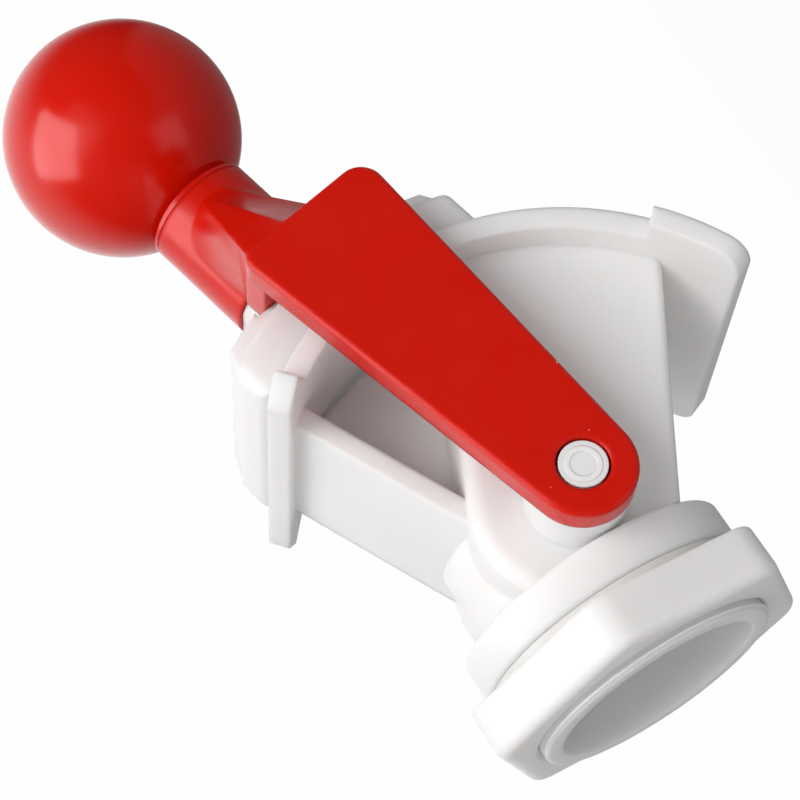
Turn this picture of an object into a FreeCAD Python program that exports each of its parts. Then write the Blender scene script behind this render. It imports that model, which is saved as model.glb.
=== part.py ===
import FreeCAD
import Part
import os
import re
import Sketcher

# Honey gate valve: a moulded body with a threaded inlet and a fan-shaped duct that opens on a curved
# sealing plate, and a lever on a pivot pin that carries a curved shutter across the opening.
# Frame: origin at the centre of the flange's seating face, X along the tube towards the outlet,
# Z up in the plane in which the lever swings, Y along the pivot axis, with the lever on the -Y side.

document = FreeCAD.newDocument("honey_gate")
sheet = document.addObject("Spreadsheet::Sheet", "Sizes")

# Name, value in mm or degrees, meaning.
SIZES = [
    ("bore_r", 24.0, "inlet bore radius"),
    ("tube_r", 28.3, "outside of the threaded inlet tube"),
    ("tube_length", 16.5, "threaded tube, from the seating face to its end"),
    ("flange_rim", 3.8, "flange beyond the tube"),
    ("flange_width", 9.9, "flange along the tube"),
    ("neck_r", 25.6, "round neck behind the flange"),
    ("neck_reach", 29.3, "end of the round neck, from the seating face"),
    ("pivot_x", 21.3, "pivot axis, from the seating face"),
    ("rim_in", 61.0, "inside radius of the sealing plate, about the pivot"),
    ("rim_out", 66.1, "sealing radius, about the pivot"),
    ("rim_half", 33.5, "half width of the sealing plate"),
    ("rim_low", 47.0, "plate end below the tube axis, degrees"),
    ("rim_high", 45.5, "plate end above the tube axis, degrees"),
    ("duct_half", 26.0, "half width of the duct outside"),
    ("duct_wall", 3.8, "wall of the duct"),
    ("drum_r", 22.3, "round end of the duct, about the pivot"),
    ("duct_edge", 3.8, "rounded edge of the duct beside the pocket"),
    ("duct_low_edge", 2.2, "rounded edge of the duct on its other side"),
    ("passage_side", 13.2, "passage's side above the tube axis"),
    ("low_wall_start", 19.4, "outer wall below the axis, where it leaves the flange"),
    ("low_wall_end", 51.6, "outer wall below the axis, where it meets the plate, degrees"),
    ("high_wall_end", 3.5, "outer wall beside the pocket, where it meets the plate, degrees below axis"),
    ("side_half", 22.0, "half width of the pocket's side wall"),
    ("side_wall", 4.7, "thickness of the pocket's side wall"),
    ("side_start", 17.2, "side wall's outer face above the pivot"),
    ("side_end", 41.8, "side wall's outer face where it meets the plate, degrees"),
    ("web_wall", 2.6, "web in the middle of the pocket"),
    ("stop_half", 39.0, "half width of the plain stop"),
    ("stop_end", 67.5, "free end of the plain stop, degrees below the axis"),
    ("stop_corner", 6.0, "rounded corner of the plain stop"),
    ("lug_end_half", 36.0, "half width of the lug at its end"),
    ("lug_half", 43.6, "half width of the lug at its peak"),
    ("lug_peak", 41.0, "angle of the lug's peak, degrees"),
    ("lug_foot", 36.2, "angle where the lug leaves the rim, degrees"),
    ("boss_r", 11.0, "pivot boss radius"),
    ("arm_low", 37.5, "underside of the lever's arm, from the middle plane"),
    ("arm_wall", 6.3, "thickness of the lever's arm"),
    ("arm_gap", 0.3, "play between the boss and the arm"),
    ("lever_angle", 13.12, "lever above the tube axis as it stands, degrees"),
    ("eye_r", 11.6, "round end of the arm"),
    ("arm_over", 6.85, "end of the arm beyond the shutter's plate"),
    ("arm_half", 18.33, "half width of the arm at its end"),
    ("arm_corner", 5.5, "far corner of the arm"),
    ("arm_near_corner", 3.5, "near corner of the arm, beside the gusset"),
    ("arm_edge", 1.0, "rounded edge of the arm's face"),
    ("block_wall", 5.85, "end block along the lever"),
    ("block_half", 16.0, "half width of the end block"),
    ("block_low", 20.0, "lower corners of the end block, from the middle plane"),
    ("hub_r", 13.5, "lever hub radius"),
    ("hub_gap", 5.75, "hub's face beyond the end of the arm"),
    ("hub_length", 27.4, "lever hub along the lever"),
    ("gusset_stop", 4.0, "where the gusset runs out on the hub, before the hub's seam with the knob"),
    ("gusset_crease", 4.5, "crease of the gusset at the arm's end"),
    ("gusset_low", 34.0, "foot of the gusset's side round the hub, degrees"),
    ("gusset_top", 13.0, "gusset's near crease round the hub from its top, degrees"),
    ("gusset_apex", 8.0, "gusset's middle crease round the hub from its top, degrees"),
    ("gusset_ridge", 10.0, "gusset's far ridge round the hub from its top, degrees"),
    ("seam_gap", 0.1, "seam between hub and knob"),
    ("collar_width", 0.9, "knob's collar at the seam"),
    ("collar_core_r", 12.0, "knob's neck between collar and ball"),
    ("spigot_r", 8.0, "spigots that hold the knob and the shutter"),
    ("spigot_length", 15.0, "length of those spigots"),
    ("press_gap", 0.03, "gap drawn round a pressed spigot"),
    ("knob_r", 27.84, "ball radius"),
    ("knob_out", 27.1, "ball centre beyond the seam"),
    ("pin_r", 3.5, "pivot pin shank"),
    ("pin_head_r", 5.2, "pivot pin head"),
    ("pin_head_wall", 2.6, "pivot pin head thickness"),
    ("pin_sink", 0.3, "pin head below the arm's face"),
    ("pin_play", 0.1, "play under the pin head"),
    ("pin_run", 0.06, "running gap round the pin in the eye"),
    ("pin_seat_r", 5.75, "countersunk seat for the pin head"),
    ("pin_depth", 12.0, "pin in the boss, from the boss face"),
    ("shutter_gap", 0.3, "running gap of the shutter on the sealing plate"),
    ("shutter_wall", 9.6, "shutter plate thickness"),
    ("shutter_half", 29.5, "half width of the shutter along the pivot"),
    ("shutter_side", 32.2, "half length of the shutter across the lever"),
    ("shutter_corner", 3.0, "corner of the shutter"),
    ("pad_rise", 4.0, "raised pad on the shutter"),
    ("pad_half", 25.5, "half width of the pad"),
    ("pad_side", 28.4, "half length of the pad at its top"),
    ("pad_foot", 31.4, "half length of the pad at its foot"),
    ("carrier_side", 14.8, "half width of the shutter's carrier at the pad"),
    ("carrier_tip_side", 12.6, "half width of the carrier at the hub"),
    ("block_room", 2.4, "room beside the end block in the shutter"),
    ("seat_gap", 0.2, "gap between seated pieces"),
    ("nut_wall", 12.15, "nut's corner beyond the thread"),
    ("nut_corner", 7.0, "rounding of the nut's corners"),
    ("nut_width", 12.1, "nut along the tube"),
    ("nut_turn", 10.9, "first nut corner from Z towards -Y, degrees"),
    ("nut_edge", 2.4, "rounded front edge of the nut"),
    ("nut_back_edge", 1.2, "rounded back edge of the nut"),
    ("nut_lead", 1.2, "chamfer at the mouth of the nut's bore"),
    ("nut_run", 0.06, "running gap drawn between thread and nut"),
    ("wall_gap", 2.4, "nut from the seating face, tightened with no wall between"),
    ("gasket_wall", 2.0, "sealing ring thickness"),
    ("gasket_band", 2.9, "width of the sealing ring"),
    ("gasket_room", 0.3, "sealing ring's play on the tube"),
    ("flange_edge", 1.2, "rounded edge of the flange"),
    ("tube_edge", 0.8, "rounded end of the tube"),
    ("window_low", 46.5, "window's far end below the axis, degrees"),
    ("window_high", 8.5, "window's near end below the axis, degrees"),
]

# Sizes that follow from others: name, formula, meaning.
DERIVED = [
    ("flange_r", "=tube_r + flange_rim", "flange radius"),
    ("gasket_r", "=tube_r + gasket_room + gasket_band", "sealing ring outside radius"),
    ("arm_reach", "=rim_out + shutter_gap + shutter_wall + arm_over", "end of the arm, from the pivot"),
    ("hub_start", "=arm_reach + hub_gap", "hub's face towards the shutter"),
    ("hub_end", "=hub_start + hub_length", "hub's seam with the knob"),
    ("gusset_end", "=hub_end - gusset_stop", "where the gusset runs out on the hub"),
    ("knob_reach", "=hub_end + knob_out", "ball centre, from the pivot"),
]

for row, (name, size, meaning) in enumerate(SIZES + DERIVED, start=1):
    sheet.set("A%d" % row, str(size))
    sheet.setAlias("A%d" % row, name)
    sheet.set("B%d" % row, meaning)
document.recompute()

NAMES = {name for name, size, meaning in SIZES + DERIVED}


def bound(text):
    """Lead each size name in an expression to its cell."""
    return re.sub(r"[a-z_]+", lambda m: "Sizes." + m.group() if m.group() in NAMES else m.group(), text)


def number(text):
    """Value of an expression in size names."""
    result = sheet.evalExpression(bound(text))
    return float(getattr(result, "Value", result))


def new_body(name, x="0", tilt="0"):
    """One moulded piece, with its own origin at x on the tube axis, tilted up about the pivot axis."""
    body = document.addObject("PartDesign::Body", name)
    body.Label = name
    body.Placement.Rotation = FreeCAD.Rotation(FreeCAD.Vector(0, -1, 0), number(tilt))
    body.setExpression("Placement.Base.x", bound(x))
    if tilt != "0":
        body.setExpression("Placement.Rotation.Angle", bound(tilt))
    return body


def new_sketch(body, name, plane, offset="0", turn="0"):
    """Empty sketch on an origin plane, turned about the plane's x axis and moved along its own normal."""
    sketch = body.newObject("Sketcher::SketchObject", name)
    support = [item for item in body.Origin.OriginFeatures if item.Role == plane][0]
    sketch.AttachmentSupport = (support, [""])
    sketch.MapMode = "FlatFace"
    if turn != "0":
        sketch.AttachmentOffset.Rotation = FreeCAD.Rotation(FreeCAD.Vector(1, 0, 0), number(turn))
        sketch.setExpression("AttachmentOffset.Rotation.Angle", bound(turn))
    if offset != "0":
        sketch.setExpression("AttachmentOffset.Base.y", bound("-(%s) * sin(%s)" % (offset, turn)))
        sketch.setExpression("AttachmentOffset.Base.z", bound("(%s) * cos(%s)" % (offset, turn)))
    return sketch


def hold(sketch, item, end, x, y):
    """Tie a point of the sketch to two expressions."""
    for kind, axis, text in (("DistanceX", -2, x), ("DistanceY", -1, y)):
        if text == "0":
            sketch.addConstraint(Sketcher.Constraint("PointOnObject", item, end, axis))
        else:
            index = sketch.addConstraint(Sketcher.Constraint(kind, item, end, number(text)))
            sketch.setExpression("Constraints[%d]" % index, bound(text))


def touch_point(outside, centre, radius, side):
    """Where a line from an outside point touches a circle, on the given side of the centre line."""
    away = outside - centre
    share = radius / away.Length
    along = away.normalize()
    across = FreeCAD.Vector(-along.y, along.x, 0) * side
    return centre + (along * share + across * (1 - share ** 2) ** 0.5) * radius


def rounding(points, i, corner):
    """Start, middle and end of the arc at one corner, or that corner three times."""
    here = points[i]
    earlier = points[i - 1]
    later = points[(i + 1) % len(points)]
    if len(corner) == 2:
        return here, here, here
    radius = number(corner[2])
    if len(corner) == 4:
        away = (here * 2 - earlier - later).normalize()
        return touch_point(earlier, here, radius, 1), here + away * radius, touch_point(later, here, radius, -1)
    back = (earlier - here).normalize()
    ahead = (later - here).normalize()
    cut = radius / abs(back.cross(ahead).z) * (1 + back.dot(ahead))
    depth = (cut ** 2 + radius ** 2) ** 0.5 - radius
    return here + back * cut, here + (back + ahead).normalize() * depth, here + ahead * cut


def outline(sketch, corners):
    """Closed outline, counterclockwise, through corners given as expressions.

    A corner is (x, y), or (x, y, rounding), or (x, y, radius, "centre") for an outer arc about x, y.
    """
    points = [FreeCAD.Vector(number(corner[0]), number(corner[1]), 0) for corner in corners]
    count = len(corners)
    arcs = [rounding(points, i, corner) for i, corner in enumerate(corners)]
    lines = [sketch.addGeometry(Part.LineSegment(arcs[i][2], arcs[(i + 1) % count][0])) for i in range(count)]
    for i, corner in enumerate(corners):
        before = lines[i - 1]
        after = lines[i]
        if len(corner) == 2:
            sketch.addConstraint(Sketcher.Constraint("Coincident", before, 2, after, 1))
            hold(sketch, after, 1, corner[0], corner[1])
            continue
        arc = sketch.addGeometry(Part.Arc(*arcs[i]))
        if len(corner) == 4:
            hold(sketch, arc, 3, corner[0], corner[1])
        else:
            tip = sketch.addGeometry(Part.Point(points[i]), True)
            hold(sketch, tip, 1, corner[0], corner[1])
            sketch.addConstraint(Sketcher.Constraint("PointOnObject", tip, 1, before))
            sketch.addConstraint(Sketcher.Constraint("PointOnObject", tip, 1, after))
        start = sketch.Geometry[arc].StartPoint
        starts_first = start.distanceToPoint(arcs[i][0]) < start.distanceToPoint(arcs[i][2])
        sketch.addConstraint(Sketcher.Constraint("Tangent", before, 2, arc, 1 if starts_first else 2))
        sketch.addConstraint(Sketcher.Constraint("Tangent", after, 1, arc, 2 if starts_first else 1))
        index = sketch.addConstraint(Sketcher.Constraint("Radius", arc, number(corner[2])))
        sketch.setExpression("Constraints[%d]" % index, bound(corner[2]))
    return sketch


def circles(sketch, *radii):
    """Circles about the sketch's origin."""
    for radius in radii:
        circle = Part.Circle(FreeCAD.Vector(0, 0, 0), FreeCAD.Vector(0, 0, 1), number(radius))
        item = sketch.addGeometry(circle)
        sketch.addConstraint(Sketcher.Constraint("Coincident", item, 3, -1, 1))
        index = sketch.addConstraint(Sketcher.Constraint("Radius", item, number(radius)))
        sketch.setExpression("Constraints[%d]" % index, bound(radius))
    return sketch


def rectangle(sketch, x_low, x_high, y_low, y_high):
    """Rectangle between four expressions."""
    return outline(sketch, [(x_low, y_low), (x_high, y_low), (x_high, y_high), (x_low, y_high)])


def extrude(body, kind, sketch, length, symmetric=False, backwards=False):
    """Pad or Pocket of a sketch."""
    feature = body.newObject("PartDesign::" + kind, sketch.Name + "_" + kind.lower())
    feature.Profile = sketch
    feature.SideType = "Symmetric" if symmetric else "One side"
    feature.Reversed = backwards
    feature.setExpression("Length", bound(length))
    document.recompute()
    return feature


def turn_profile(body, kind, sketch, axis, angles=None):
    """Revolution or Groove of a sketch about its own axis; angles are expressions, both ways."""
    feature = body.newObject("PartDesign::" + kind, sketch.Name + "_" + kind.lower())
    feature.Profile = sketch
    feature.ReferenceAxis = (sketch, [axis])
    feature.Angle = 360
    if angles:
        feature.Type = "TwoAngles"
        feature.setExpression("Angle", bound(angles[0]))
        feature.setExpression("Angle2", bound(angles[1]))
    document.recompute()
    return feature


def loft(body, first, last):
    """Straight-sided loft between two sketches."""
    feature = body.newObject("PartDesign::AdditiveLoft", last.Name + "_loft")
    feature.Profile = first
    feature.Sections = [last]
    feature.Ruled = True
    document.recompute()
    return feature


def dress(body, kind, name, base, size, wanted):
    """Fillet or Chamfer on the edges of base that wanted accepts."""
    chosen = ["Edge%d" % n for n, edge in enumerate(base.Shape.Edges, start=1) if wanted(edge)]
    if not chosen:
        raise ValueError("no edge for " + name)
    feature = body.newObject("PartDesign::" + kind, name)
    feature.Base = (base, chosen)
    feature.setExpression("Radius" if kind == "Fillet" else "Size", bound(size))
    document.recompute()
    return feature


def near(value, text, slack=0.01):
    return abs(value - number(text)) < slack


def flat_at(edge, axis, text):
    """Whether a whole edge lies in the plane axis = text of its own body."""
    ends = [vertex.Point[axis] for vertex in edge.Vertexes]
    ends.append(edge.valueAt((edge.FirstParameter + edge.LastParameter) / 2)[axis])
    return all(near(value, text) for value in ends)


def valve_body():
    """White moulding: inlet, flange, neck, duct, pocket, sealing plate, stops and boss."""
    body = new_body("valve_body", "pivot_x")
    seat = "-pivot_x"
    back = "flange_width - pivot_x"
    neck_end = "neck_reach - pivot_x"

    # Flat duct that widens towards the plate, with rounded long edges and a round end about the pivot.
    fan = new_sketch(body, "duct_outline", "XZ_Plane")
    low_slope = "(rim_in * sin(low_wall_end) - low_wall_start) / (rim_in * cos(low_wall_end) - (%s))" % back
    high_x = "(rim_out + duct_wall)"
    turn = "(acos(drum_r / rim_in) - high_wall_end * 1 deg)"
    outline(fan, [
        (back, "-low_wall_start"),
        ("rim_out * cos(low_wall_end)",
         "-low_wall_start - (%s) * (rim_out * cos(low_wall_end) - (%s))" % (low_slope, back)),
        (high_x, "-rim_out * sin(low_wall_end)"),
        (high_x, "-rim_in * tan(high_wall_end)"),
        ("rim_in * cos(high_wall_end)", "-rim_in * sin(high_wall_end)"),
        ("drum_r * cos(%s)" % turn, "drum_r * sin(%s)" % turn),
        ("0", "0"),
        (back, "0"),
    ])
    block = extrude(body, "Pad", fan, "2 * duct_half", symmetric=True)

    def long_edge(height):
        """Test for the duct's long edges whose inner end is at this height."""
        def wanted(edge):
            ends = sorted((vertex.Point for vertex in edge.Vertexes), key=lambda point: point.x)
            wide = all(near(abs(point.y), "duct_half") for point in ends)
            return wide and near(ends[0].z, height) and ends[1].x > number("drum_r")
        return wanted

    eased = dress(body, "Fillet", "duct_rounding", block, "duct_edge", long_edge("drum_r * sin(%s)" % turn))
    dress(body, "Fillet", "duct_low_rounding", eased, "duct_low_edge", long_edge("-low_wall_start"))
    drum = new_sketch(body, "duct_end", "XY_Plane")
    outline(drum, [
        ("0", "-duct_half"),
        ("drum_r", "-duct_half", "duct_edge"),
        ("drum_r", "duct_half", "duct_edge"),
        ("0", "duct_half"),
    ])
    turn_profile(body, "Revolution", drum, "V_Axis")
    turned = new_sketch(body, "inlet_profile", "XY_Plane")
    outline(turned, [
        ("-pivot_x - tube_length", "0"),
        (neck_end, "0"),
        (neck_end, "neck_r"),
        (back, "neck_r"),
        (back, "flange_r", "flange_edge"),
        (seat, "flange_r", "flange_edge"),
        (seat, "tube_r"),
        ("-pivot_x - tube_length", "tube_r", "tube_edge"),
    ])
    turn_profile(body, "Revolution", turned, "H_Axis")

    # The duct runs out into the sealing plate; its end is trimmed to a circle about the pivot.
    plate_middle = "(rim_in + rim_out) / 2"

    # Side wall and web of the open pocket.
    lean = "(rim_in * sin(side_end) - side_start) / (rim_in * cos(side_end))"
    wall_drop = "side_wall * sqrt(1 + (%s) ^ 2)" % lean
    wall_x = "rim_out * cos(side_end)"
    side = new_sketch(body, "side_wall_outline", "XZ_Plane")
    outline(side, [
        ("0", "side_start - (%s)" % wall_drop),
        (wall_x, "side_start + (%s) * (%s) - (%s)" % (lean, wall_x, wall_drop)),
        (wall_x, "side_start + (%s) * (%s)" % (lean, wall_x)),
        ("0", "side_start"),
    ])
    extrude(body, "Pad", side, "2 * side_half", symmetric=True)
    web = new_sketch(body, "web_outline", "XZ_Plane")
    outline(web, [
        ("0", "0"),
        (plate_middle, "0"),
        (wall_x, "side_start + (%s) * (%s) - (%s) / 2" % (lean, wall_x, wall_drop)),
        ("0", "side_start - (%s) / 2" % wall_drop),
    ])
    extrude(body, "Pad", web, "web_wall", symmetric=True)
    trim = rectangle(new_sketch(body, "end_trim", "XY_Plane"),
                     plate_middle, "2 * rim_out", "-duct_half - 1", "duct_half + 1")
    turn_profile(body, "Groove", trim, "V_Axis")

    # Sealing plate, plain stop at its low end and ears of the lug at its high end.
    plate = rectangle(new_sketch(body, "plate_profile", "XY_Plane"),
                      "rim_in", "rim_out", "-rim_half", "rim_half")
    turn_profile(body, "Revolution", plate, "V_Axis", ("rim_low + 1", "rim_high"))
    stop = rectangle(new_sketch(body, "stop_profile", "XY_Plane"),
                     "rim_in", "rim_out", "-stop_half", "stop_half")
    turn_profile(body, "Revolution", stop, "V_Axis", ("stop_end", "-rim_low"))
    lug = new_sketch(body, "lug_outline", "YZ_Plane", "rim_in", "-lug_peak")
    lug_end = "rim_in * tan(rim_high - lug_peak)"
    lug_start = "-rim_in * tan(lug_peak - lug_foot)"
    outline(lug, [
        ("-lug_end_half", lug_end),
        ("-lug_half", "0"),
        ("-rim_half", lug_start),
        ("rim_half", lug_start),
        ("lug_half", "0"),
        ("lug_end_half", lug_end),
    ])
    extrude(body, "Pad", lug, "rim_out - rim_in + 1")
    skim = rectangle(new_sketch(body, "lug_trim", "XY_Plane"),
                     "rim_out", "2 * rim_out", "-lug_half - 1", "lug_half + 1")
    plain = turn_profile(body, "Groove", skim, "V_Axis")

    def stop_corner(edge):
        ends = [vertex.Point for vertex in edge.Vertexes]
        wide = all(near(abs(point.y), "stop_half") for point in ends)
        heights = sorted(point.z for point in ends)
        level = near(heights[0], "-rim_out * sin(stop_end)") and near(heights[-1], "-rim_in * sin(stop_end)")
        return wide and level

    dress(body, "Fillet", "stop_rounding", plain, "stop_corner", stop_corner)

    # Pivot bosses on both faces of the duct; only the one under the lever holds a pin.
    for side, backwards in (("", False), ("-", True)):
        name = "low_boss" if backwards else "boss"
        boss = circles(new_sketch(body, name, "XZ_Plane", side + "(duct_half - duct_wall / 2)"), "boss_r")
        extrude(body, "Pad", boss, "arm_low - arm_gap - duct_half + duct_wall / 2", backwards=backwards)
        hole = circles(new_sketch(body, name + "_hole", "XZ_Plane", side + "(arm_low - arm_gap)"), "pin_r")
        extrude(body, "Pocket", hole, "pin_depth", backwards=backwards)

    # Round inlet bore, then the flat passage that widens to the window in the sealing plate.
    bore = rectangle(new_sketch(body, "inlet_bore", "XY_Plane"),
                     "-pivot_x - tube_length - 1", back + " + 1", "0", "bore_r")
    turn_profile(body, "Groove", bore, "H_Axis")
    passage = new_sketch(body, "passage_outline", "XZ_Plane")
    outline(passage, [
        (back + " - 1", "-low_wall_start + duct_wall"),
        (back, "-low_wall_start + duct_wall"),
        ("rim_in * cos(window_low)", "-rim_in * sin(window_low)"),
        ("1.3 * rim_out * cos(window_low)", "-1.3 * rim_out * sin(window_low)"),
        ("1.3 * rim_out * cos(window_high)", "-1.3 * rim_out * sin(window_high)"),
        ("rim_in * cos(window_high)", "-rim_in * sin(window_high)"),
        (neck_end, "passage_side"),
        (back + " - 1", "passage_side"),
    ])
    extrude(body, "Pocket", passage, "2 * (duct_half - duct_wall)", symmetric=True)
    return body


def hex_nut():
    """Clamping nut with rounded corners on the inlet thread."""
    body = new_body("hex_nut", "-wall_gap")
    sketch = new_sketch(body, "nut_outline", "YZ_Plane")
    corner_r = "(tube_r + nut_wall)"
    outline(sketch, [
        ("-%s * sin(nut_turn + %d)" % (corner_r, turn), "%s * cos(nut_turn + %d)" % (corner_r, turn), "nut_corner")
        for turn in range(0, 360, 60)
    ])
    block = extrude(body, "Pad", sketch, "nut_width", backwards=True)
    eased = dress(body, "Fillet", "nut_rounding", block, "nut_edge",
                  lambda edge: flat_at(edge, 0, "-nut_width"))
    dress(body, "Fillet", "nut_back_rounding", eased, "nut_back_edge", lambda edge: flat_at(edge, 0, "0"))
    bore = circles(new_sketch(body, "nut_bore", "YZ_Plane"), "tube_r + nut_run")
    cut = extrude(body, "Pocket", bore, "nut_width", backwards=False)
    dress(body, "Chamfer", "nut_mouth", cut, "nut_lead",
          lambda edge: flat_at(edge, 0, "-nut_width") and near(edge.Curve.Radius, "tube_r + nut_run")
          if hasattr(edge.Curve, "Radius") else False)
    return body


def flange_gasket():
    """Flat sealing ring on the flange's seating face."""
    body = new_body("flange_gasket")
    ring = circles(new_sketch(body, "gasket_ring", "YZ_Plane"), "gasket_r", "tube_r + gasket_room")
    extrude(body, "Pad", ring, "gasket_wall", backwards=True)
    return body


def pivot_pin():
    """Headed pin, pressed into the boss."""
    body = new_body("pivot_pin", "pivot_x")
    face = "arm_low + arm_wall - pin_sink"
    head = circles(new_sketch(body, "pin_head", "XZ_Plane", face), "pin_head_r")
    extrude(body, "Pad", head, "pin_head_wall", backwards=True)
    shank = circles(new_sketch(body, "pin_shank", "XZ_Plane", face + " - pin_head_wall"), "pin_r - press_gap")
    length = "arm_wall - pin_sink - pin_head_wall + arm_gap + pin_depth - seat_gap"
    extrude(body, "Pad", shank, length, backwards=True)
    return body


def lever():
    """Red moulding: arm with its eye, end block, gusset and hub, drawn along its own X axis."""
    body = new_body("lever", "pivot_x", "lever_angle")
    arm = outline(new_sketch(body, "arm_outline", "XZ_Plane", "arm_low"), [
        ("0", "0", "eye_r", "centre"),
        ("arm_reach", "-arm_half", "arm_corner"),
        ("arm_reach", "arm_half", "arm_near_corner"),
    ])
    plate = extrude(body, "Pad", arm, "arm_wall")
    dress(body, "Fillet", "arm_rounding", plate, "arm_edge",
          lambda edge: flat_at(edge, 1, "-arm_low - arm_wall"))
    block = rectangle(new_sketch(body, "block_outline", "YZ_Plane", "arm_reach - block_wall"),
                      "-arm_low - arm_wall / 2", "-block_low", "-block_half", "block_half")
    extrude(body, "Pad", block, "block_wall")

    # Gusset from the block's outer face down to the hub, through a section at the hub's front face.
    top = "(arm_low + arm_wall - 2 * arm_edge)"
    share = "hub_gap / (gusset_end - arm_reach)"
    low = ("-hub_r * sin(gusset_low)", "hub_r * cos(gusset_low)")
    high = ("-hub_r * cos(gusset_top)", "hub_r * sin(gusset_top)")
    crest = ("-hub_r * cos(gusset_apex)", "hub_r * sin(gusset_apex)")
    ridge = ("-hub_r * cos(gusset_ridge)", "-hub_r * sin(gusset_ridge)")
    wide = [
        ("-block_low", "block_half"),
        ("-" + top, "block_half"),
        ("-" + top, "gusset_crease"),
        ("-block_low - 2 * arm_edge", "-block_half"),
        ("-block_low", "-block_half"),
    ]
    narrow = [low, high, crest, ridge, (low[0], "-" + low[1])]
    between = [low]
    for first, last in zip(wide[1:4], narrow[1:4]):
        between.append(tuple("(%s) + (%s - (%s)) * %s" % (a, b, a, share) for a, b in zip(first, last)))
    between.append((low[0], "-" + low[1]))
    root = outline(new_sketch(body, "gusset_root", "YZ_Plane", "arm_reach"), wide)
    waist = outline(new_sketch(body, "gusset_waist", "YZ_Plane", "hub_start"), between)
    loft(body, root, waist)
    waist_again = outline(new_sketch(body, "gusset_waist_back", "YZ_Plane", "hub_start"), between)
    tip = outline(new_sketch(body, "gusset_tip", "YZ_Plane", "gusset_end"), narrow)
    loft(body, waist_again, tip)

    # Arch through the block and under the gusset, round the shutter's carrier.
    arch = outline(new_sketch(body, "arch_profile", "XY_Plane"), [
        ("arm_reach - block_wall - 1", "0"),
        ("hub_start", "0"),
        ("hub_start", "hub_r - seat_gap"),
        ("arm_reach", "sqrt(block_low ^ 2 + block_half ^ 2)"),
        ("arm_reach - block_wall - 1", "sqrt(block_low ^ 2 + block_half ^ 2)"),
    ])
    turn_profile(body, "Groove", arch, "H_Axis")
    hub = circles(new_sketch(body, "hub", "YZ_Plane", "hub_start"), "hub_r")
    extrude(body, "Pad", hub, "hub_length")
    socket = circles(new_sketch(body, "hub_socket", "YZ_Plane", "hub_start"), "spigot_r")
    extrude(body, "Pocket", socket, "spigot_length + seat_gap", backwards=True)
    spigot = circles(new_sketch(body, "knob_spigot", "YZ_Plane", "hub_end"), "spigot_r - press_gap")
    extrude(body, "Pad", spigot, "spigot_length")

    # Eye, with a counterbore for the pin's head.
    eye = circles(new_sketch(body, "eye", "XZ_Plane", "arm_low + arm_wall"), "pin_r + pin_run")
    extrude(body, "Pocket", eye, "arm_wall")
    seat = circles(new_sketch(body, "eye_seat", "XZ_Plane", "arm_low + arm_wall"), "pin_seat_r")
    extrude(body, "Pocket", seat, "pin_sink + pin_head_wall + pin_play")
    return body


def flat_sided(sketch, radius, half):
    """Circle about the sketch's origin with two flats at y = half and -half."""
    size = number(radius)
    flat = number(half)
    across = (size ** 2 - flat ** 2) ** 0.5
    corners = [FreeCAD.Vector(x, y, 0) for x, y in
               ((across, -flat), (across, flat), (-across, flat), (-across, -flat))]
    items = [
        sketch.addGeometry(Part.Arc(corners[0], FreeCAD.Vector(size, 0, 0), corners[1])),
        sketch.addGeometry(Part.LineSegment(corners[1], corners[2])),
        sketch.addGeometry(Part.Arc(corners[2], FreeCAD.Vector(-size, 0, 0), corners[3])),
        sketch.addGeometry(Part.LineSegment(corners[3], corners[0])),
    ]
    for before, after in zip(items, items[1:] + items[:1]):
        sketch.addConstraint(Sketcher.Constraint("Coincident", before, 2, after, 1))
    for arc in (items[0], items[2]):
        sketch.addConstraint(Sketcher.Constraint("Coincident", arc, 3, -1, 1))
        index = sketch.addConstraint(Sketcher.Constraint("Radius", arc, size))
        sketch.setExpression("Constraints[%d]" % index, bound(radius))
    for line, end, sign in ((1, 1, ""), (1, 2, ""), (3, 1, "-"), (3, 2, "-")):
        place = number(sign + half)
        index = sketch.addConstraint(Sketcher.Constraint("DistanceY", items[line], end, place))
        sketch.setExpression("Constraints[%d]" % index, bound(sign + half))
    return sketch


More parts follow.
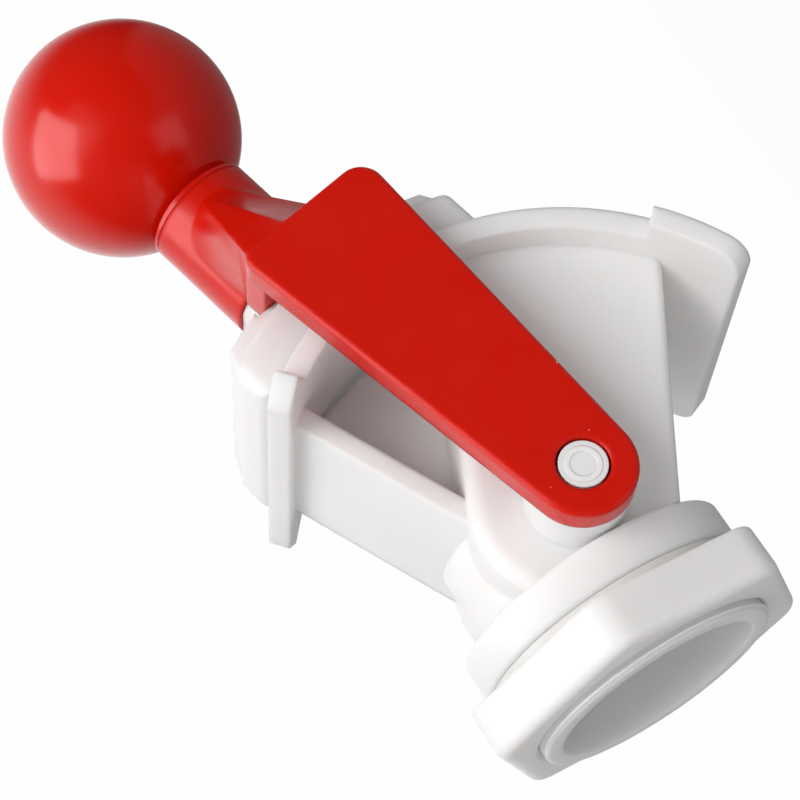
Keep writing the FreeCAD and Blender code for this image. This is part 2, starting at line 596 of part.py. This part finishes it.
def shutter():
    """White closing plate, curved about the pivot, with its raised pad and the carrier into the hub."""
    body = new_body("shutter", "pivot_x", "lever_angle")
    inside = "rim_out + shutter_gap"
    outside = "rim_out + shutter_gap + shutter_wall"
    face = "rim_out + shutter_gap + shutter_wall + pad_rise"
    slab = rectangle(new_sketch(body, "plate_outline", "XZ_Plane"),
                     "rim_in * 0.8", outside, "-shutter_side", "shutter_side")
    extrude(body, "Pad", slab, "2 * shutter_half", symmetric=True)
    hollow = rectangle(new_sketch(body, "sealing_face", "XY_Plane"),
                       "rim_in * 0.7", inside, "-shutter_half - 1", "shutter_half + 1")
    turn_profile(body, "Groove", hollow, "V_Axis")
    round_off = rectangle(new_sketch(body, "outer_face", "XY_Plane"),
                          outside, outside + " + shutter_side", "-shutter_half - 1", "shutter_half + 1")
    curved = turn_profile(body, "Groove", round_off, "V_Axis")

    def plate_corner(edge):
        ends = [vertex.Point for vertex in edge.Vertexes]
        return all(near(abs(point.y), "shutter_half") and near(abs(point.z), "shutter_side") for point in ends)

    dress(body, "Fillet", "plate_rounding", curved, "shutter_corner", plate_corner)
    pad = outline(new_sketch(body, "pad_outline", "XZ_Plane"), [
        (inside + " + seat_gap", "-pad_foot"),
        ("sqrt((%s) ^ 2 - pad_foot ^ 2)" % outside, "-pad_foot"),
        ("sqrt((%s) ^ 2 - pad_side ^ 2)" % face, "-pad_side"),
        (face, "-pad_side"),
        (face, "pad_side"),
        ("sqrt((%s) ^ 2 - pad_side ^ 2)" % face, "pad_side"),
        ("sqrt((%s) ^ 2 - pad_foot ^ 2)" % outside, "pad_foot"),
        (inside + " + seat_gap", "pad_foot"),
    ])
    extrude(body, "Pad", pad, "2 * pad_half", symmetric=True)
    crown = rectangle(new_sketch(body, "pad_face", "XY_Plane"),
                      face, face + " + shutter_side", "-shutter_half - 1", "shutter_half + 1")
    turn_profile(body, "Groove", crown, "V_Axis")

    # Slots for the end block on both sides, then the carrier under its arch and the spigot.
    block_face = "arm_reach - block_wall - seat_gap"
    for name, near_edge, far_edge in (
            ("block_slot", "-pad_half - 1", "-block_low + seat_gap"),
            ("spare_slot", "block_low - seat_gap", "pad_half + 1")):
        slot = rectangle(new_sketch(body, name, "YZ_Plane", block_face),
                         near_edge, far_edge, "-block_half - block_room", "block_half + block_room")
        extrude(body, "Pocket", slot, "block_wall + pad_rise", backwards=True)
    arch_r = "sqrt(block_low ^ 2 + block_half ^ 2) - seat_gap"
    carrier = flat_sided(new_sketch(body, "carrier", "YZ_Plane", inside + " + seat_gap"), arch_r, "carrier_side")
    extrude(body, "Pad", carrier, "arm_reach - (%s) - 2 * seat_gap" % inside)
    wide = flat_sided(new_sketch(body, "carrier_root", "YZ_Plane", "arm_reach - seat_gap"), arch_r, "carrier_side")
    slim = flat_sided(new_sketch(body, "carrier_tip", "YZ_Plane", "hub_start - seat_gap"),
                      "hub_r - 3 * seat_gap", "carrier_tip_side")
    loft(body, wide, slim)
    spigot = circles(new_sketch(body, "carrier_spigot", "YZ_Plane", "hub_start - seat_gap"),
                     "spigot_r - press_gap")
    extrude(body, "Pad", spigot, "spigot_length")
    return body


def ball_knob():
    """Ball with a short collar, bored for the hub's spigot."""
    body = new_body("ball_knob", "pivot_x", "lever_angle")
    ball = body.newObject("PartDesign::AdditiveSphere", "ball")
    ball.setExpression("Radius", bound("knob_r"))
    ball.setExpression("Placement.Base.x", bound("knob_reach"))
    document.recompute()
    trim = circles(new_sketch(body, "seam_trim", "YZ_Plane", "hub_end + seam_gap"), "2 * hub_r")
    extrude(body, "Pocket", trim, "hub_r")
    collar = circles(new_sketch(body, "collar", "YZ_Plane", "hub_end + seam_gap"), "hub_r")
    extrude(body, "Pad", collar, "collar_width")
    core = circles(new_sketch(body, "collar_core", "YZ_Plane", "hub_end + seam_gap"), "collar_core_r")
    extrude(body, "Pad", core, "knob_reach - knob_r / 2 - hub_end")
    bore = circles(new_sketch(body, "knob_bore", "YZ_Plane", "hub_end + seam_gap"), "spigot_r")
    extrude(body, "Pocket", bore, "spigot_length + seat_gap", backwards=True)
    return body


PIECES = [valve_body(), hex_nut(), flange_gasket(), pivot_pin(), lever(), shutter(), ball_knob()]

document.recompute()
for item in document.Objects:
    if "Invalid" in item.State or "Error" in item.State:
        raise RuntimeError("%s failed: %s" % (item.Name, item.State))
os.makedirs("parts", exist_ok=True)
for piece in PIECES:
    if piece.Shape.isNull() or not piece.Shape.isValid():
        raise RuntimeError(piece.Label + " has no valid shape")
    piece.Shape.exportStep("parts/%s.step" % piece.Label)
    box = piece.Shape.BoundBox
    print("%-14s volume %.0f solids %d  x %.1f..%.1f y %.1f..%.1f z %.1f..%.1f" % (
        piece.Label, piece.Shape.Volume, len(piece.Shape.Solids),
        box.XMin, box.XMax, box.YMin, box.YMax, box.ZMin, box.ZMax))
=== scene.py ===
import math

import bpy
from mathutils import Matrix, Vector


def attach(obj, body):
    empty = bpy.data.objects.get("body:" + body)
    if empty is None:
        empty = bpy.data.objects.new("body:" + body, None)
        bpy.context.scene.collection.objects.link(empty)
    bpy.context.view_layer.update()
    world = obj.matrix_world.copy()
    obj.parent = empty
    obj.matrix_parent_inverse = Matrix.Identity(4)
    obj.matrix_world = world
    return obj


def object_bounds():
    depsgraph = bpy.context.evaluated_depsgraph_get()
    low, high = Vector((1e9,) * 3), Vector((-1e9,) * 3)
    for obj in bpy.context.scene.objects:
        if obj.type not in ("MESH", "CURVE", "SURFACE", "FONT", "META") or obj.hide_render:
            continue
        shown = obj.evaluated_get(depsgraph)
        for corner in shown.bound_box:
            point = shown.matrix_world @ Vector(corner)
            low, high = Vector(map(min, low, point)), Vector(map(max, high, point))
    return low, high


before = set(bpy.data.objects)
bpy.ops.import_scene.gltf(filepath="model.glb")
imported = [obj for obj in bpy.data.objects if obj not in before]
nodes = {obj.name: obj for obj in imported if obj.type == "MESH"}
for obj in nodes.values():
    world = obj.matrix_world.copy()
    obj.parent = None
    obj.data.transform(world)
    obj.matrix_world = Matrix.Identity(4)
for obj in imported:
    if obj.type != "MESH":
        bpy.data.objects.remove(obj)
cad_low, cad_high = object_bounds()
scene = bpy.context.scene


# Materials

def add_node(tree, kind, **settings):
    """Shader node with some of its settings and unlinked inputs."""
    node = tree.nodes.new("ShaderNode" + kind)
    for key, value in settings.items():
        if hasattr(node, key):
            setattr(node, key, value)
        else:
            node.inputs[key.replace("_", " ")].default_value = value
    return node


def mapped(tree, source, low, high, to_low, to_high):
    """Value output of source, spread from one range to another."""
    spread = add_node(tree, "MapRange", interpolation_type="SMOOTHSTEP",
                      From_Min=low, From_Max=high, To_Min=to_low, To_Max=to_high)
    tree.links.new(source, spread.inputs["Value"])
    return spread.outputs["Result"]


def noise(tree, place, scale):
    """Smooth noise, with scale waves to the metre."""
    texture = add_node(tree, "TexNoise", Scale=scale, Detail=1.0, Roughness=0.55)
    tree.links.new(place, texture.inputs["Vector"])
    return texture.outputs["Fac"]


NOISE_RANGE = (0.15, 0.85)
CLOUDS, SMEARS, MOULD_GRAIN, SPECKLE = 30.0, 90.0, 900.0, 1400.0
SPECKLE_SHARE = 0.3
SKIN_RADIUS = (1.0, 0.8, 0.75)
SKIN_DEPTH = 0.007
GRAIN_HEIGHT = 0.0003


def plastic(name, light, dark, rough, level=0.35, edge=0.0005, skin=0.0, grain=0.03):
    """Moulded plastic: cloudy colour between two shades, uneven gloss, fine grain, lighter edges.

    level is its specular level, edge the radius of its softened edges, skin the share of light
    that scatters below the surface, and grain the strength of the mould's grain.
    """
    material = bpy.data.materials.new(name)
    material.use_nodes = True
    tree = material.node_tree
    shader = tree.nodes["Principled BSDF"]
    shader.inputs["Specular IOR Level"].default_value = level
    if skin:
        shader.inputs["Subsurface Weight"].default_value = skin
        shader.inputs["Subsurface Radius"].default_value = SKIN_RADIUS
        shader.inputs["Subsurface Scale"].default_value = SKIN_DEPTH
    place = tree.nodes.new("ShaderNodeTexCoord").outputs["Object"]

    cloud = add_node(tree, "Mix", Factor=SPECKLE_SHARE)
    tree.links.new(noise(tree, place, CLOUDS), cloud.inputs["A"])
    tree.links.new(noise(tree, place, SPECKLE), cloud.inputs["B"])
    tint = add_node(tree, "Mix", data_type="RGBA")
    tint.inputs["A"].default_value = (*dark, 1.0)
    tint.inputs["B"].default_value = (*light, 1.0)
    tree.links.new(mapped(tree, cloud.outputs["Result"], *NOISE_RANGE, 0.0, 1.0),
                   tint.inputs["Factor"])

    # Edges are made lighter where the softened normal leaves the true one.
    eased = add_node(tree, "Bevel", samples=6, Radius=edge)
    flat = tree.nodes.new("ShaderNodeNewGeometry")
    likeness = add_node(tree, "VectorMath", operation="DOT_PRODUCT")
    tree.links.new(eased.outputs["Normal"], likeness.inputs[0])
    tree.links.new(flat.outputs["Normal"], likeness.inputs[1])
    lighter_edge = add_node(tree, "Mix", data_type="RGBA")
    lighter_edge.inputs["B"].default_value = (*[min(1.0, c * 1.06 + 0.004) for c in light], 1.0)
    tree.links.new(mapped(tree, likeness.outputs["Value"], 0.99, 0.8, 0.0, 1.0),
                   lighter_edge.inputs["Factor"])
    tree.links.new(tint.outputs["Result"], lighter_edge.inputs["A"])
    tree.links.new(lighter_edge.outputs["Result"], shader.inputs["Base Color"])

    smear = noise(tree, place, SMEARS)
    tree.links.new(mapped(tree, smear, *NOISE_RANGE, rough * 0.8, rough * 1.25),
                   shader.inputs["Roughness"])

    normal = eased.outputs["Normal"]
    if grain:
        bump = add_node(tree, "Bump", Strength=grain, Distance=GRAIN_HEIGHT)
        tree.links.new(noise(tree, place, MOULD_GRAIN), bump.inputs["Height"])
        tree.links.new(normal, bump.inputs["Normal"])
        normal = bump.outputs["Normal"]
    tree.links.new(normal, shader.inputs["Normal"])
    return material


def dress(node, material):
    nodes[node].data.materials.clear()
    nodes[node].data.materials.append(material)


white = ((0.875, 0.868, 0.865), (0.85, 0.838, 0.833))
pin_white = ((0.87, 0.862, 0.858), (0.85, 0.842, 0.838))
rubber = ((0.74, 0.73, 0.71), (0.70, 0.69, 0.67))
red = ((0.655, 0.0072, 0.0002), (0.615, 0.006, 0.0002))
dress("valve_body", plastic("white_body", *white, 0.38, level=0.22, skin=0.7, edge=0.0012))
dress("hex_nut", plastic("white_nut", *white, 0.36, level=0.22, skin=0.7, edge=0.0010))
dress("shutter", plastic("white_shutter", *white, 0.38, level=0.22, skin=0.7, edge=0.0016))
dress("pivot_pin", plastic("white_pin", *pin_white, 0.3, skin=0.1, edge=0.0004))
dress("flange_gasket", plastic("seal", *rubber, 0.55, edge=0.0003))
dress("lever", plastic("red_lever", *red, 0.24, level=0.34, edge=0.0018, grain=0.004))
dress("ball_knob", plastic("red_knob", *red, 0.2, level=0.38, edge=0.0002, grain=0.0))


# Fine details, in metres

def solid(name, points, faces, body, slot):
    """Smooth-shaded piece that moves with a body and has the material slot's finish."""
    mesh = bpy.data.meshes.new(name)
    mesh.from_pydata(points, [], faces)
    mesh.update()
    for face in mesh.polygons:
        face.use_smooth = True
    mesh.materials.append(bpy.data.materials[slot])
    item = bpy.data.objects.new(name, mesh)
    scene.collection.objects.link(item)
    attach(item, body)


def swept(name, stations, body, slot, loop=False):
    """Skin over rings of points, joined end to end in a loop or else with its two ends closed."""
    rim = len(stations[0])
    points = [point for ring in stations for point in ring]
    faces = []
    for i in range(len(stations) - (0 if loop else 1)):
        here, there = i * rim, (i + 1) % len(stations) * rim
        for j in range(rim):
            k = (j + 1) % rim
            faces.append((here + j, here + k, there + k, there + j))
    if not loop:
        last = (len(stations) - 1) * rim
        faces.append(tuple(reversed(range(rim))))
        faces.append(tuple(range(last, last + rim)))
    solid(name, points, faces, body, slot)


def around(count):
    """Angles of count points spread round a circle."""
    return [math.tau * i / count for i in range(count)]


# The last turn of the inlet's thread, which shows past the nut.
tube_r = 0.0283
thread_sunk = 0.00012
thread_root, thread_rise = 0.00018, 0.00040
thread_half_width = 0.00046
thread_start_x, thread_travel = -0.01530, -0.0002
thread_start_turn, thread_turns = math.radians(20), 0.94
thread_steps = 240
run_out = 1 / 12
thread = []
for i in range(thread_steps + 1):
    share = i / thread_steps
    angle = thread_start_turn + share * thread_turns * math.tau
    x = thread_start_x + thread_travel * share
    height = thread_root + thread_rise * min(1.0, share / run_out, (1 - share) / run_out)
    ring = []
    for turn in around(10):
        r = tube_r - thread_sunk + height * math.cos(turn)
        ring.append((x + thread_half_width * math.sin(turn),
                     r * math.sin(angle), r * math.cos(angle)))
    thread.append(ring)
swept("inlet_thread", thread, "housing", "white_body")

# Ring left on the pin's head by its moulding.
pin_x, pin_face = 0.0213, -0.0435
ring_r, ring_half_width, ring_height = 0.0034, 0.0007, 0.00005
head_ring = []
for angle in around(96):
    ring = []
    for turn in around(8):
        r = ring_r + ring_half_width * math.cos(turn)
        ring.append((pin_x + r * math.cos(angle), pin_face + ring_height * math.sin(turn),
                     r * math.sin(angle)))
    head_ring.append(ring)
swept("pin_ring", head_ring, "housing", "white_pin", loop=True)

# Specks of dust on the arm's face: x, z and radius.
arm_face = -0.0438
dust_sunk, dust_height = 0.00004, 0.00006
dust_layers = 4
specks = ((0.02694, -0.00504, 0.00016), (0.02016, 0.0086, 0.00013), (0.0433, -0.00786, 0.00014))
for number, (x, z, r) in enumerate(specks):
    speck = []
    for layer in range(dust_layers + 1):
        share = layer / dust_layers
        wide = r * (1.02 - share ** 2)
        y = arm_face + dust_sunk - dust_height * share
        speck.append([(x + wide * math.cos(turn), y, z + wide * math.sin(turn))
                      for turn in around(8)])
    swept("dust_%d" % number, speck, "gate_lever", "white_shutter")


# Studio

def lamp(name, direction, distance, size, radiance, colour=(1.0, 1.0, 1.0)):
    """Square soft box, aimed at the object, that the camera doesn't see."""
    light = bpy.data.lights.new(name, "AREA")
    light.shape = "SQUARE"
    light.size = size
    light.energy = radiance * math.pi * size ** 2
    light.color = colour
    item = bpy.data.objects.new(name, light)
    aim = Vector(direction).normalized()
    item.location = (cad_low + cad_high) / 2 + aim * distance
    item.rotation_mode = "QUATERNION"
    item.rotation_quaternion = aim.to_track_quat("Z", "Y")
    item.visible_camera = False
    scene.collection.objects.link(item)
    return item


key_box = lamp("key_box", (0.12, -0.70, 0.70), 1.1, 0.68, 4.85, (1.0, 0.99, 0.985))
key_box.visible_glossy = False
lamp("side_box", (-0.60, -0.62, -0.50), 1.0, 0.55, 0.8)
# Fills the inlet's bore.
bore_box = lamp("bore_box", (-0.93, -0.28, 0.22), 1.0, 0.5, 1.5, (1.0, 0.98, 0.97))
bore_box.visible_glossy = False
# White card that only mirrors, as the highlight on the ball.
card = lamp("card", (0.22, -0.26, 0.94), 1.1, 0.95, 4.8)
card.visible_diffuse = False

world = bpy.data.worlds.new("studio")
scene.world = world
world.use_nodes = True
sky = world.node_tree
ambient = sky.nodes["Background"]
ambient.inputs["Color"].default_value = (1.0, 1.0, 1.0, 1.0)
path = sky.nodes.new("ShaderNodeLightPath")
outward = sky.nodes.new("ShaderNodeTexCoord").outputs["Generated"]


def gradient(toward, start, end, low, high):
    """Strength that grows towards one side of the studio, between two cosines."""
    along = add_node(sky, "VectorMath", operation="DOT_PRODUCT")
    sky.links.new(outward, along.inputs[0])
    along.inputs[1].default_value = Vector(toward).normalized()
    return mapped(sky, along.outputs["Value"], start, end, low, high)


def choose(share, first, second):
    """First where share is 0 and second, an output or a number, where it is 1."""
    pick = add_node(sky, "Mix", data_type="FLOAT")
    sky.links.new(share, pick.inputs["Factor"])
    sky.links.new(first, pick.inputs["A"])
    if isinstance(second, float):
        pick.inputs["B"].default_value = second
    else:
        sky.links.new(second, pick.inputs["B"])
    return pick.outputs["Result"]


backdrop = 0.99
lighting = gradient((0.3, -0.1, 0.9), -0.9, 0.9, 0.20, 0.66)
mirrored = gradient((0.35, 0.80, 0.49), 0.35, 0.9, 0.03, 1.25)
unseen = choose(path.outputs["Is Glossy Ray"], lighting, mirrored)
sky.links.new(choose(path.outputs["Is Camera Ray"], unseen, backdrop), ambient.inputs["Strength"])

# Pale floor well below the part, which is shown as if held by its inlet.
floor_z, reach = -0.9, 1.6
corners = [(x, y, floor_z) for x, y in ((-reach, -reach), (reach, -reach),
                                        (reach, reach), (-reach, reach))]
floor_mesh = bpy.data.meshes.new("floor")
floor_mesh.from_pydata(corners, [], [(0, 1, 2, 3)])
floor = bpy.data.objects.new("floor", floor_mesh)
scene.collection.objects.link(floor)

# It looks as white as the backdrop and sends back less light.
paper = bpy.data.materials.new("paper")
paper.use_nodes = True
sheet = paper.node_tree
matt = sheet.nodes["Principled BSDF"]
matt.inputs["Base Color"].default_value = (0.3, 0.3, 0.3, 1.0)
matt.inputs["Roughness"].default_value = 0.9
glow = add_node(sheet, "Emission", Color=(1.0, 1.0, 1.0, 1.0), Strength=1.0)
seen = sheet.nodes.new("ShaderNodeLightPath")
blend = sheet.nodes.new("ShaderNodeMixShader")
sheet.links.new(mapped(sheet, seen.outputs["Is Camera Ray"], 0.0, 1.0, 0.0, 0.97),
                blend.inputs["Fac"])
sheet.links.new(matt.outputs["BSDF"], blend.inputs[1])
sheet.links.new(glow.outputs["Emission"], blend.inputs[2])
sheet.links.new(blend.outputs["Shader"], sheet.nodes["Material Output"].inputs["Surface"])
floor_mesh.materials.append(paper)

camera = bpy.data.objects.new("camera", bpy.data.cameras.new("camera"))
camera.data.lens = 114.78
camera.data.sensor_width = 36.0
camera.data.clip_start = 0.05
camera.data.clip_end = 100.0
position = (-0.13463, -0.51071, 0.16102)
turned = Matrix(((-0.52061, 0.77487, -0.35853),
                 (-0.04067, -0.44195, -0.89611),
                 (-0.85282, -0.45195, 0.26160)))
camera.matrix_world = Matrix.Translation(position) @ turned.to_4x4()
scene.collection.objects.link(camera)
scene.camera = camera

scene.view_settings.view_transform = "Standard"
